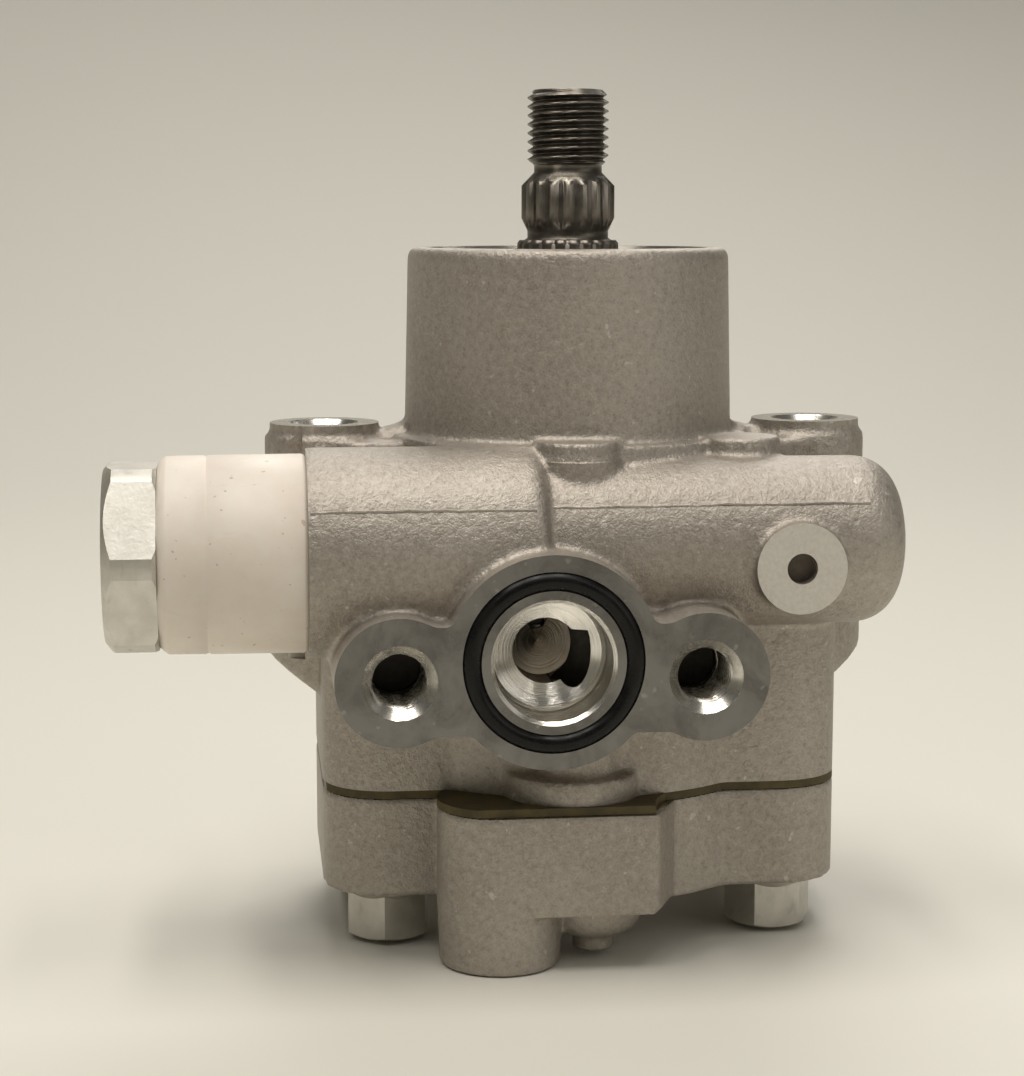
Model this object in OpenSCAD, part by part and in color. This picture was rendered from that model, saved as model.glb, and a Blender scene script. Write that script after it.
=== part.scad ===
// Power steering pump: die-cast vane pump with a valve barrel across its front.
// X runs along the valve barrel, -Y is the inlet flange side, +Z is the shaft.
// The origin is on the shaft axis, in the plane of the two mounting ear faces.

/* [Shaft] */
// Top of the threaded shaft end above the ear faces
shaft_top = 56.8; // [52:0.1:60]
// Outer diameter of the shaft thread
thread_d = 14; // [12:0.5:16]
// Length of the shaft thread
thread_len = 12.8; // [10:0.1:14]
// Outer diameter of the pulley serration
serration_d = 16.2; // [15:0.1:16.6]
// Number of serration teeth
serration_teeth = 18; // [14:1:24]
// Diameter of the bearing journal
journal_d = 17; // [16.8:0.1:18]

/* [Nose and ears] */
// Nose diameter at its top
nose_d = 55.6; // [54:0.1:60]
// Height of the nose top above the ear faces
nose_top = 30; // [28:0.1:30.4]
// Growth of the nose diameter from top to base
nose_draft = 1.4; // [0:0.1:2]
// Distance between the two ear holes
ear_span = 85; // [83:0.1:92]
// Diameter of the machined ear discs
ear_disc_d = 18.8; // [16:0.1:20]
// Tapping diameter of the ear holes
ear_hole_d = 8.6; // [8:0.1:9.5]

/* [Valve barrel] */
// Diameter of the thick left part of the barrel
barrel_d = 34.4; // [33:0.1:35.4]
// Diameter of the slim right part of the barrel
barrel_slim_d = 28; // [27:0.1:29]
// Left end face of the barrel
barrel_left = -46.5; // [-47.5:0.1:-45]
// Right domed end of the barrel
barrel_right = 52.2; // [52:0.1:58]
// Diameter of the control valve bore
valve_bore_d = 16; // [14:0.1:17]

/* [Inlet flange] */
// Distance between the two flange holes
flange_span = 48.6; // [46:0.1:52]
// Tapping diameter of the flange holes
flange_hole_d = 8.6; // [8:0.1:9]
// Diameter of the round middle of the flange
flange_d = 34.4; // [33:0.1:36]
// Inside diameter of the inlet O-ring
inlet_ring_id = 23; // [21:0.1:24]
// Wire diameter of the inlet O-ring
inlet_ring_wire = 3; // [2.4:0.1:3.4]

/* [Body and cover] */
// Width of the lower body across its lugs
body_w = 88; // [87:0.1:92]
// Thickness of the cover plate
cover_t = 16.7; // [15.5:0.1:18]
// Thickness of the gasket
gasket_t = 1.3; // [0.8:0.1:1.5]
// Distance between the left and right cover bolts
bolt_span_x = 66; // [65:0.1:68]
// Distance between the front and rear cover bolts
bolt_span_y = 34; // [32:0.1:36]

/* [Pumping cartridge] */
// Outer diameter of the cam ring
cam_d = 54; // [52:0.1:55]
// Short radius of the oval cam bore
cam_short_r = 22; // [21.5:0.1:22.2]
// Long radius of the oval cam bore
cam_long_r = 24; // [23:0.1:24.4]
// Thickness of the cam ring
cam_t = 20; // [18:0.1:20.4]
// Number of vanes
vane_count = 10; // [10:1:10]

/* [Outlet side] */
// Diameter of the plastic spacer sleeve
sleeve_d = 32.5; // [31:0.1:33.5]
// Length of the plastic spacer sleeve
sleeve_len = 23.8; // [22:0.1:27]
// Width across flats of the union bolt's hexagon
union_af = 29.5; // [28:0.5:33]

/* [Hidden] */
$fn = 96;
eps = 0.02;
fit_gap = 0.3;
run_gap = 0.05;
slide_gap = 0.1;

// Colours as the photo shows them
cast_grey = [0.62, 0.59, 0.55];
steel_dark = [0.27, 0.25, 0.24];
steel_bright = [0.72, 0.71, 0.69];
zinc = [0.76, 0.74, 0.68];
plastic_white = [0.92, 0.87, 0.80];
rubber_black = [0.05, 0.05, 0.05];
gasket_olive = [0.35, 0.30, 0.18];
bronze = [0.66, 0.48, 0.26];

// Heights of the stack, from the nose down to the foot
disc_t = 2.2;
plate_z = -disc_t + 0.4;
body_bottom = -59;
cover_top = body_bottom - gasket_t;
cover_bottom = cover_top - cover_t;
foot_bottom = cover_bottom - 9.8;
upper_r = 31;
lower_r = 36;
lug_r = (body_w - bolt_span_x) / 2;
lower_top = -31;
ear_slope_foot = -50;
ear_slope_bend = -47;
ear_slope_tip = -39.2;
web_t = 8;
web_inset = 5;
ear_step = 0.6;
ear_lip = 0.9;
web_rise = 0.6;
weep_r = 2.4;
weep_z = 2.4;
weep_depth = 3.5;
bolt_x = bolt_span_x / 2;
bolt_y = bolt_span_y / 2;

// Shaft shoulders
neck_d = thread_d - 2.3;
serration_root = serration_d - 1.6;
thread_bottom = shaft_top - thread_len;
neck_h = 1.2;
serration_top = thread_bottom - neck_h - 2.3;
serration_len = 5.5;
serration_bottom = serration_top - serration_len;
low_neck_d = serration_d - 2.2;
low_neck_top = serration_bottom - 2.2;
journal_top = nose_top + 0.8;
bush_id = 16;
spline_root_r = 7;
spline_tip_r = 8;
spline_keys = 8;
spline_key_w = 2.4;

// Ball bearing, snap ring, seal and bush along the shaft
bearing_od = 47;
bearing_w = 14;
bearing_top = nose_top - 4;
bearing_bottom = bearing_top - bearing_w;
bearing_mid = bearing_top - bearing_w / 2;
ball_pitch_r = 16;
ball_r = 4.2;
ball_count = 8;
cage_h = 10.4;
ring_wall = 4;
snap_t = 1.75;
snap_depth = 1.4;
snap_width = 4;
seal_od = 30;
seal_t = 7;
seal_top = bearing_bottom - 1;
seal_bottom = seal_top - seal_t;
bush_od = bush_id + 4;
bush_top = -6;
bush_len = 20;

// Pumping chamber
chamber_top = -32;
plate_t = 6;
cam_top = chamber_top - plate_t;
cam_bottom = cam_top - cam_t;
chamber_r = cam_d / 2 + 0.1;
rotor_top = cam_top - fit_gap;
rotor_bottom = cam_bottom + fit_gap;
rotor_r = cam_short_r - 0.6;
vane_t = 1.8;
vane_tip_r = cam_short_r - fit_gap;
vane_len = 8;
slot_bottom_r = vane_tip_r - vane_len - 1.2;
dowel_r = 1.5;
dowel_pitch_r = (cam_short_r + cam_d / 2) / 2 + 0.1;
dowel_depth = 4;
plate_ring_r = 15;
plate_ring_wire = 2.2;
rotor_snap_t = 1.2;
tail_bottom = rotor_bottom - 2.6;
tail_pocket_r = 11;
tail_pocket_bottom = tail_bottom - 3;
plate_hole_r = spline_tip_r + 1;
port_inset = 2;
port_half_w = 1.6;
port_spread = 0.43;

// Valve barrel
barrel_y = -26;
barrel_z = -19.2;
slim_z = -18.2;
shoulder_x = -8.2;
shoulder_round = 2.5;
dome_len = 8;
valve_r = valve_bore_d / 2;
valve_right = 44;
connector_r = 11.5;
connector_len = 18;
connector_groove_d = 1.8;
connector_groove_w = 2.4;
connector_groove_x = 13;
connector_bore_r = 7;
spool_left = barrel_left + connector_len + 1;
spool_len = 34;
spring_pocket = 10;
spring_wall = 2.4;
spring_wire_r = 0.8;
spring_end_gap = 0.05;
spool_right = spool_left + spool_len;
sleeve_left = barrel_left - sleeve_len;
sleeve_clear = 1;
hex_t = 8.6;
hex_left = sleeve_left - hex_t;
corner_rest = 1.4;
hex_edge = 0.6;
hex_bevel = 1.6;
union_hole_r = 4;
union_reach = 14;

// Inlet flange
flange_y = -47.5;
inlet_x = -8.4;
inlet_z = -34.3;
flange_drop = 2.7;
flange_ear_r = 10.3;
flange_back = -26;
hole_depth = 16;
ear_hole_depth = 24;
mouth_bevel = 0.4;
inlet_r = 9.5;
inlet_chamfer = 0.6;
inlet_depth = 6;
seat_r = 8.7;
seat_depth = 7.6;
inlet_cone_r = 5.4;
inlet_cone_depth = 13.4;
inlet_end_depth = 19;
drill_tip = 2.5;
passage_x = -2.7;
passage_y = -33;
passage_r = 4.5;
passage_wall = 2.4;
passage_top = inlet_z + 3.4;
bypass_r = 1.7;
bypass_y = -31;
lip_x = -3.5;
lip_y = -30.3;
lip_r = 11.7;
lip_reach = 21;
lip_t = 4;
ring_mid_r = (inlet_ring_id + inlet_ring_wire) / 2;

// Side boss on the slim part of the barrel
boss_x = 32.6;
boss_z = -20.9;
boss_r = 7.4;
boss_face = -41.5;
boss_hole_r = 2.5;
plug_face = -39;
plug_back = -35.5;

// Cast pads on the top plate
pad_x = -2;
pad_y = -27.6;
pad_r = 7;
side_pad_x = 26.5;
side_pad_y = -20;
side_pad_r = 6.8;

// Cover front block, foot and dome
gasket_inset = 0.6;
block_front = -43;
block_right = 8.9;
block_round = -bolt_y - lug_r - block_front;
foot_x = -15.5;
foot_y = -33;
foot_r = 10.4;
dome_x = 0.3;
dome_y = -31;
dome_r = 8.4;
dome_drop = 5.8;
nub_r = 3.4;
nub_drop = 8.6;

// Cover bolts
bolt_r = 5;
bolt_af = 13.4;
bolt_flange_r = 7.2;
bolt_flange_t = 1.5;
bolt_head_t = 9;
bolt_reach = 16;

// Shared shapes

module along_x(x) {
    translate([x, barrel_y, barrel_z])
        rotate([0, 90, 0])
            children();
}

module facing_front(x, y, z) {
    translate([x, y, z])
        rotate([90, 0, 0])
            children();
}

module tube(outer_r, inner_r, h) {
    difference() {
        cylinder(r = outer_r, h = h);
        translate([0, 0, -1])
            cylinder(r = inner_r, h = h + 2);
    }
}

module torus(mid_r, wire_r) {
    rotate_extrude()
        translate([mid_r, 0])
            circle(r = wire_r, $fn = 48);
}

module at_bolts() {
    for (sx = [-1, 1], sy = [-1, 1])
        translate([sx * bolt_x, sy * bolt_y, 0])
            rotate(sx > 0 ? 30 : 0)
                children();
}

module snap_ring(outer_r, inner_r, t, gap_deg) {
    difference() {
        tube(outer_r, inner_r, t);
        translate([0, 0, -1])
            linear_extrude(t + 2)
                polygon([
                    [0, 0],
                    2 * outer_r * [cos(90 - gap_deg / 2), sin(90 - gap_deg / 2)],
                    2 * outer_r * [cos(90 + gap_deg / 2), sin(90 + gap_deg / 2)]
                ]);
    }
}

// Plan of the lower body: four bolt lugs round a circular chamber wall
module lower_plan() {
    circle(r = lower_r);
    for (sx = [-1, 1], sy = [-1, 1])
        translate([sx * bolt_x, sy * bolt_y])
            circle(r = lug_r);
    square([body_w, bolt_span_y], center = true);
    square([bolt_span_x, bolt_span_y + 2 * lug_r], center = true);
}

// Plan of the inlet lip that carries the suction passage across the joint
module lip_plan() {
    translate([lip_x, lip_y])
        circle(r = lip_r);
    polygon([
        [lip_x - lip_reach, -bolt_y - lug_r + 1], [lip_x - lip_r + 1, lip_y - 2.5],
        [lip_x + lip_r - 1, lip_y - 2.5], [lip_x + lip_reach, -bolt_y - lug_r + 1]
    ]);
}

// Plan of the cover: the body plan, the front block and the foot column
module cover_plan() {
    lower_plan();
    translate([foot_x, foot_y])
        circle(r = foot_r);
    translate([foot_x, block_front])
        square([block_right - foot_x, -block_front - 20]);
    difference() {
        translate([block_right - eps, block_front])
            square([block_round, -block_front - 20]);
        translate([block_right + block_round, block_front])
            circle(r = block_round);
    }
}

// Pump body

module nose() {
    rim = 1.6;
    top_r = nose_d / 2;
    base_r = top_r + nose_draft / 2;
    rotate_extrude()
        polygon(concat(
            [[0, lower_top], [base_r, lower_top], [base_r, plate_z]],
            [for (a = [0 : 15 : 90])
                [top_r - rim + rim * cos(a), nose_top - rim + rim * sin(a)]],
            [[0, nose_top]]
        ));
}

module ear(side) {
    ear_x = ear_span / 2;
    column_r = ear_disc_d / 2 + ear_lip;
    outer_x = ear_x + column_r + 1;
    intersection() {
        union() {
            translate([side * ear_x, 0, body_bottom])
                cylinder(r = column_r, h = -body_bottom - disc_t);
            translate([side < 0 ? -ear_x : 0, -column_r, body_bottom])
                cube([ear_x, 2 * column_r, -body_bottom - disc_t - ear_step]);
        }
        rotate([90, 0, 0])
            linear_extrude(4 * column_r, center = true)
                polygon([
                    [0, ear_slope_foot], [side * (body_w / 2 - 1), ear_slope_bend],
                    [side * outer_x, ear_slope_tip], [side * outer_x, 0], [0, 0]
                ]);
    }
    translate([side * ear_x, 0, -disc_t - eps])
        cylinder(r = ear_disc_d / 2, h = disc_t + eps);
    translate([0, web_t / 2, 0])
        rotate([90, 0, 0])
            linear_extrude(web_t)
                polygon([
                    [side * (upper_r - web_inset), ear_slope_tip], [side * (ear_x - web_inset), ear_slope_tip],
                    [side * (ear_x - web_inset), -disc_t - ear_step], [side * (upper_r - web_inset), web_rise]
                ]);
}

module barrel_shape() {
    thick_r = barrel_d / 2;
    slim_r = barrel_slim_d / 2;
    along_x(barrel_left)
        rotate_extrude()
            polygon(concat(
                [[0, 0], [thick_r - 0.6, 0], [thick_r, 0.6]],
                [for (a = [0 : 15 : 90])
                    [thick_r - shoulder_round * (1 - cos(a)),
                     shoulder_x - barrel_left - shoulder_round * (1 - sin(a))]],
                [[0, shoulder_x - barrel_left]]
            ));
    translate([shoulder_x - 5, barrel_y, slim_z])
        rotate([0, 90, 0])
            rotate_extrude()
                polygon(concat(
                    [[0, 0], [slim_r, 0]],
                    [for (a = [0 : 10 : 80])
                        [slim_r * pow(cos(a), 0.55),
                         barrel_right - shoulder_x + 5 - dome_len * (1 - sin(a))]],
                    [[0, barrel_right - shoulder_x + 5]]
                ));
}

module flange_plan() {
    half = flange_span / 2;
    circle(r = flange_d / 2);
    for (side = [-1, 1])
        translate([side * half, -flange_drop])
            circle(r = flange_ear_r);
    translate([-half, -flange_drop - flange_ear_r + 1.6])
        square([flange_span, 2 * flange_ear_r - 3.2]);
}

module inlet_flange() {
    facing_front(inlet_x, flange_back, inlet_z)
        linear_extrude(flange_back - flange_y)
            flange_plan();
}

module pads() {
    translate([pad_x, pad_y, barrel_z])
        cylinder(r = pad_r + 0.5, h = plate_z - 2 - barrel_z);
    translate([pad_x, pad_y, barrel_z])
        cylinder(r = pad_r, h = plate_z + 0.7 - barrel_z);
    translate([side_pad_x, side_pad_y, barrel_z])
        cylinder(r = side_pad_r, h = plate_z + 0.5 - barrel_z);
}

module body_mass() {
    nose();
    translate([0, 0, body_bottom])
        linear_extrude(lower_top - body_bottom)
            lower_plan();
    translate([0, 0, body_bottom])
        linear_extrude(lip_t)
            lip_plan();
    translate([0, 0, lower_top - 1])
        cylinder(r = upper_r, h = plate_z - lower_top + 1);
    difference() {
        ear(-1);
        along_x(hex_left)
            cylinder(r = sleeve_d / 2 + sleeve_clear, h = barrel_left - hex_left);
    }
    ear(1);
    barrel_shape();
    inlet_flange();
    pads();
    facing_front(boss_x, barrel_y, boss_z)
        cylinder(r = boss_r, h = barrel_y - boss_face);
    translate([passage_x, passage_y, body_bottom])
        cylinder(r = passage_r + passage_wall, h = passage_top - body_bottom);
}

module shaft_bores() {
    translate([0, 0, bearing_bottom])
        cylinder(r = bearing_od / 2, h = nose_top - bearing_bottom + 1);
    translate([0, 0, bearing_top])
        cylinder(r = bearing_od / 2 + snap_depth, h = snap_t);
    translate([0, 0, seal_bottom])
        cylinder(r = seal_od / 2, h = bearing_bottom - seal_bottom + 1);
    translate([0, 0, chamber_top - 1])
        cylinder(r = bush_od / 2, h = seal_bottom - chamber_top + 2);
    translate([0, 0, body_bottom - 1])
        cylinder(r = chamber_r, h = chamber_top - body_bottom + 1);
}

module valve_bores() {
    along_x(barrel_left - 1)
        cylinder(r = connector_r, h = connector_len + 1);
    along_x(barrel_left)
        cylinder(r = valve_r, h = valve_right - barrel_left);
}

module inlet_bores() {
    facing_front(inlet_x, flange_y, inlet_z)
        rotate([180, 0, 0])
            rotate_extrude()
                polygon([
                    [0, -1], [inlet_r + inlet_chamfer, -1], [inlet_r + inlet_chamfer, 0],
                    [inlet_r, inlet_chamfer], [inlet_r, inlet_depth], [seat_r, seat_depth],
                    [inlet_cone_r, inlet_cone_depth], [inlet_cone_r, inlet_end_depth],
                    [0, inlet_end_depth + drill_tip]
                ]);
    facing_front(inlet_x, flange_y + inlet_ring_wire * 0.75, inlet_z)
        tube(ring_mid_r + inlet_ring_wire / 2, ring_mid_r - inlet_ring_wire / 2, inlet_ring_wire);
    translate([passage_x, passage_y, body_bottom - 1])
        cylinder(r = passage_r, h = passage_top - body_bottom + 1);
    translate([inlet_x, bypass_y, inlet_z + 1.1])
        cylinder(r = bypass_r, h = barrel_z - inlet_z, $fn = 48);
}

module tapped_hole(r, depth) {
    translate([0, 0, -depth])
        cylinder(r = r, h = depth + 1);
    translate([0, 0, -mouth_bevel])
        cylinder(r1 = r, r2 = r + 2 * mouth_bevel, h = 2 * mouth_bevel);
}

module pump_body() {
    color(cast_grey)
        difference() {
            body_mass();
            shaft_bores();
            valve_bores();
            inlet_bores();
            for (side = [-1, 1]) {
                translate([side * ear_span / 2, 0, 0])
                    tapped_hole(ear_hole_d / 2, ear_hole_depth);
                facing_front(inlet_x + side * flange_span / 2, flange_y, inlet_z - flange_drop)
                    tapped_hole(flange_hole_d / 2, hole_depth);
            }
            at_bolts()
                translate([0, 0, body_bottom - 1])
                    cylinder(r = bolt_r, h = bolt_reach + 2);
            facing_front(boss_x, plug_back, boss_z)
                cylinder(r = boss_hole_r, h = plug_back - boss_face + 1);
            translate([nose_d / 2 - weep_depth, -weep_r, weep_z])
                rotate([0, 90, 0])
                    cylinder(r = weep_r, h = weep_depth + 2, $fn = 48);
        }
}

// Cover, gasket and bolts

module rear_cover() {
    color(cast_grey)
        difference() {
            union() {
                translate([0, 0, cover_bottom])
                    linear_extrude(cover_t)
                        cover_plan();
                translate([0, 0, cover_top - eps])
                    cylinder(r = chamber_r - fit_gap, h = cam_bottom - cover_top + eps);
                translate([foot_x, foot_y, foot_bottom])
                    cylinder(r1 = foot_r - 0.4, r2 = foot_r, h = cover_bottom - foot_bottom + 1);
                translate([dome_x, dome_y, cover_bottom - dome_drop])
                    rotate_extrude()
                        polygon(concat(
                            [[0, dome_drop + 2], [dome_r, dome_drop + 2]],
                            [for (a = [0 : 10 : 80])
                                [dome_r * pow(cos(a), 0.4), dome_drop * (1 - sin(a))]],
                            [[0, 0]]
                        ));
                translate([dome_x, dome_y, cover_bottom - nub_drop])
                    cylinder(r = nub_r, h = nub_drop);
            }
            at_bolts()
                translate([0, 0, cover_bottom - 1])
                    cylinder(r = bolt_r + fit_gap, h = cover_t + 2);
            translate([0, 0, tail_pocket_bottom])
                cylinder(r = tail_pocket_r, h = cam_bottom - tail_pocket_bottom + 1);
            translate([passage_x, passage_y, cover_top - 10])
                cylinder(r = passage_r, h = 11);
            for (side = [-1, 1])
                translate([side * dowel_pitch_r, 0, cam_bottom - dowel_depth])
                    cylinder(r = dowel_r, h = dowel_depth + 1, $fn = 32);
        }
}

module cover_gasket() {
    color(gasket_olive)
        translate([0, 0, cover_top])
            difference() {
                linear_extrude(gasket_t)
                    intersection() {
                        cover_plan();
                        translate([-body_w / 2 + gasket_inset, block_front + gasket_inset])
                            square([body_w - 2 * gasket_inset, 2 * lower_r]);
                    }
                translate([0, 0, -1])
                    cylinder(r = chamber_r, h = gasket_t + 2);
                translate([passage_x, passage_y, -1])
                    cylinder(r = passage_r, h = gasket_t + 2);
                at_bolts()
                    translate([0, 0, -1])
                        cylinder(r = bolt_r + fit_gap, h = gasket_t + 2);
            }
}

module cover_bolts() {
    hex_r = bolt_af / 2 / cos(30);
    color(zinc)
        at_bolts()
            translate([0, 0, cover_bottom]) {
                translate([0, 0, -bolt_flange_t])
                    cylinder(r = bolt_flange_r, h = bolt_flange_t);
                intersection() {
                    translate([0, 0, -bolt_head_t])
                        cylinder(r = hex_r, h = bolt_head_t, $fn = 6);
                    translate([0, 0, -bolt_head_t])
                        cylinder(r1 = bolt_af / 2, r2 = bolt_af / 2 + bolt_head_t, h = bolt_head_t);
                }
                cylinder(r = bolt_r, h = cover_t + gasket_t + bolt_reach);
            }
}

// Shaft and its bearing

module spline_plan(root_r, tip_r) {
    circle(r = root_r);
    for (i = [0 : spline_keys - 1])
        rotate(i * 360 / spline_keys)
            translate([-spline_key_w / 2, 0])
                square([spline_key_w, tip_r]);
}

module serration_plan() {
    tooth = 360 / serration_teeth;
    polygon([for (i = [0 : serration_teeth - 1], k = [0, 0.3, 0.5, 0.8])
        (k < 0.5 ? serration_d / 2 : serration_root / 2)
            * [cos((i + k) * tooth), sin((i + k) * tooth)]]);
}

module drive_shaft() {
    thread_r = thread_d / 2;
    color(steel_dark) {
        difference() {
            rotate_extrude()
                polygon([
                    [0, tail_bottom + 1.4], [bush_id / 2 - run_gap, chamber_top - 2],
                    [bush_id / 2 - run_gap, seal_bottom - 1],
                    [journal_d / 2, seal_bottom - 0.5], [journal_d / 2, journal_top - 0.3],
                    [journal_d / 2 - 0.3, journal_top], [low_neck_d / 2, journal_top + 0.8],
                    [low_neck_d / 2, low_neck_top], [serration_root / 2, serration_bottom],
                    [serration_root / 2, serration_top], [neck_d / 2, thread_bottom - neck_h],
                    [neck_d / 2, thread_bottom], [thread_r, thread_bottom + 1],
                    [thread_r, shaft_top - 1.1], [thread_r - 1.1, shaft_top], [0, shaft_top]
                ]);
            translate([0, 0, tail_bottom - 20])
                cylinder(r = bush_id, h = chamber_top - 3 - tail_bottom + 20);
        }
        intersection() {
            translate([0, 0, low_neck_top])
                linear_extrude(thread_bottom - low_neck_top)
                    serration_plan();
            rotate_extrude()
                polygon([
                    [0, low_neck_top], [low_neck_d / 2, low_neck_top],
                    [serration_d / 2, serration_bottom], [serration_d / 2, serration_top],
                    [neck_d / 2, thread_bottom - neck_h], [0, thread_bottom - neck_h]
                ]);
        }
        difference() {
            translate([0, 0, tail_bottom])
                linear_extrude(chamber_top - 3 - tail_bottom + eps)
                    spline_plan(spline_root_r, spline_tip_r);
            translate([0, 0, rotor_bottom - rotor_snap_t])
                tube(spline_tip_r + 1, spline_root_r - 0.6, rotor_snap_t);
        }
    }
}

module race_groove() {
    translate([0, 0, bearing_mid])
        torus(ball_pitch_r, ball_r + fit_gap);
}

module bearing_ring(outer_r, inner_r) {
    difference() {
        translate([0, 0, bearing_bottom])
            tube(outer_r, inner_r, bearing_w);
        race_groove();
    }
}

module bearing_outer_ring() {
    color(steel_bright)
        bearing_ring(bearing_od / 2, bearing_od / 2 - ring_wall);
}

module bearing_inner_ring() {
    color(steel_bright)
        bearing_ring(journal_d / 2 + ring_wall, journal_d / 2);
}

module at_balls() {
    for (i = [0 : ball_count - 1])
        rotate(i * 360 / ball_count)
            translate([ball_pitch_r, 0, bearing_mid])
                children();
}

module bearing_balls() {
    color(steel_bright)
        at_balls()
            sphere(r = ball_r);
}

module bearing_cage() {
    color(bronze)
        difference() {
            translate([0, 0, bearing_mid - cage_h / 2])
                tube(ball_pitch_r + 1, ball_pitch_r - 1, cage_h);
            at_balls()
                sphere(r = ball_r);
        }
}

module bearing_shields() {
    color(steel_dark)
        for (z = [bearing_bottom, bearing_top - 0.8])
            translate([0, 0, z])
                tube(bearing_od / 2 - ring_wall, journal_d / 2 + ring_wall + fit_gap, 0.8);
}

module bearing_snap_ring() {
    outer_r = bearing_od / 2 + snap_depth;
    color(steel_dark)
        translate([0, 0, bearing_top])
            rotate(90)
                snap_ring(outer_r, outer_r - snap_width, snap_t, 24);
}

module shaft_seal() {
    lip = journal_d / 2 + run_gap;
    case_r = seal_od / 2 - 1.6;
    color(rubber_black)
        translate([0, 0, seal_bottom])
            rotate_extrude()
                polygon([
                    [lip, 2], [lip, 2.6], [lip + 2, seal_t - 1], [lip + 2, seal_t],
                    [seal_od / 2, seal_t], [seal_od / 2, 0], [case_r, 0],
                    [case_r, seal_t - 2], [lip + 3.4, seal_t - 2], [lip + 2.2, 1]
                ]);
}

module shaft_bush() {
    color(bronze)
        translate([0, 0, bush_top - bush_len])
            tube(bush_od / 2, bush_id / 2, bush_len);
}

// Pumping cartridge

module kidney_ports(mid_r, half_w, h) {
    for (turn = [0, 90, 180, 270])
        rotate(turn + 45)
            linear_extrude(h)
                intersection() {
                    difference() {
                        circle(r = mid_r + half_w);
                        circle(r = mid_r - half_w);
                    }
                    polygon([[0, 0], [cam_d, -cam_d * port_spread], [cam_d, cam_d * port_spread]]);
                }
}

module pressure_plate() {
    color(steel_bright)
        difference() {
            translate([0, 0, cam_top])
                tube(cam_d / 2, plate_hole_r, plate_t);
            translate([0, 0, cam_top - 1])
                kidney_ports(cam_short_r - port_inset, port_half_w, plate_t + 2);
            translate([0, 0, chamber_top - plate_ring_wire])
                tube(plate_ring_r + plate_ring_wire / 2, plate_ring_r - plate_ring_wire / 2,
                     plate_ring_wire + 1);
            for (side = [-1, 1])
                translate([side * dowel_pitch_r, 0, cam_top - 1])
                    cylinder(r = dowel_r, h = dowel_depth + 1, $fn = 32);
        }
}

module plate_seal_ring() {
    color(rubber_black)
        translate([0, 0, chamber_top - plate_ring_wire / 2])
            torus(plate_ring_r, plate_ring_wire / 2);
}

module cam_ring() {
    grow = cam_long_r - cam_short_r;
    color(steel_bright)
        translate([0, 0, cam_bottom])
            difference() {
                cylinder(r = cam_d / 2, h = cam_t);
                translate([0, 0, -1])
                    linear_extrude(cam_t + 2)
                        polygon([for (a = [0 : 5 : 355])
                            (cam_short_r + grow * (1 - cos(2 * a)) / 2) * [cos(a), sin(a)]]);
                for (side = [-1, 1])
                    translate([side * dowel_pitch_r, 0, -1])
                        cylinder(r = dowel_r, h = cam_t + 2, $fn = 32);
            }
}

module dowel_pins() {
    color(steel_bright)
        for (side = [-1, 1])
            translate([side * dowel_pitch_r, 0, cam_bottom - dowel_depth])
                cylinder(r = dowel_r, h = cam_t + 2 * dowel_depth, $fn = 32);
}

module at_vane(i) {
    rotate((i + 0.5) * 360 / vane_count)
        children();
}

module rotor() {
    slot_w = vane_t + 2 * slide_gap;
    color(steel_bright)
        translate([0, 0, rotor_bottom])
            difference() {
                cylinder(r = rotor_r, h = rotor_top - rotor_bottom);
                translate([0, 0, -1])
                    linear_extrude(rotor_top - rotor_bottom + 2)
                        spline_plan(spline_root_r, spline_tip_r);
                for (i = [0 : vane_count - 1])
                    at_vane(i) {
                        translate([slot_bottom_r, -slot_w / 2, -1])
                            cube([rotor_r, slot_w, rotor_top - rotor_bottom + 2]);
                        translate([slot_bottom_r, 0, -1])
                            cylinder(r = slot_w * 0.75, h = rotor_top - rotor_bottom + 2, $fn = 32);
                    }
            }
}

module rotor_snap_ring() {
    color(steel_dark)
        translate([0, 0, rotor_bottom - rotor_snap_t])
            snap_ring(spline_tip_r + 1.6, spline_root_r - 0.6, rotor_snap_t, 50);
}

module vane(i) {
    color(steel_bright)
        at_vane(i - 1)
            translate([vane_tip_r - vane_len, -vane_t / 2, rotor_bottom])
                cube([vane_len, vane_t, rotor_top - rotor_bottom]);
}

// Inlet seal, outlet side and control valve

module inlet_o_ring() {
    color(rubber_black)
        facing_front(inlet_x, flange_y + inlet_ring_wire * 0.75 - inlet_ring_wire / 2, inlet_z)
            torus(ring_mid_r, inlet_ring_wire / 2);
}

module outlet_connector() {
    color(steel_bright)
        along_x(barrel_left)
            difference() {
                cylinder(r = connector_r, h = connector_len);
                translate([0, 0, -1])
                    cylinder(r = connector_bore_r, h = union_reach + 1);
                translate([0, 0, union_reach - 1])
                    cylinder(r = union_hole_r, h = connector_len);
                translate([0, 0, connector_groove_x])
                    tube(connector_r + 1, connector_r - connector_groove_d, connector_groove_w);
            }
}

module connector_o_ring() {
    color(rubber_black)
        along_x(barrel_left + connector_groove_x + connector_groove_w / 2)
            torus(connector_r - connector_groove_d / 2, connector_groove_d / 2);
}

module spacer_sleeve() {
    bevel = 1.4;
    edge = 0.6;
    draft = 0.2;
    outer_r = sleeve_d / 2;
    color(plastic_white)
        along_x(sleeve_left)
            rotate_extrude()
                polygon([
                    [connector_bore_r, 0], [outer_r - bevel, 0], [outer_r - draft, bevel],
                    [outer_r, sleeve_len - edge], [outer_r - edge, sleeve_len],
                    [connector_bore_r, sleeve_len]
                ]);
}

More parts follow.
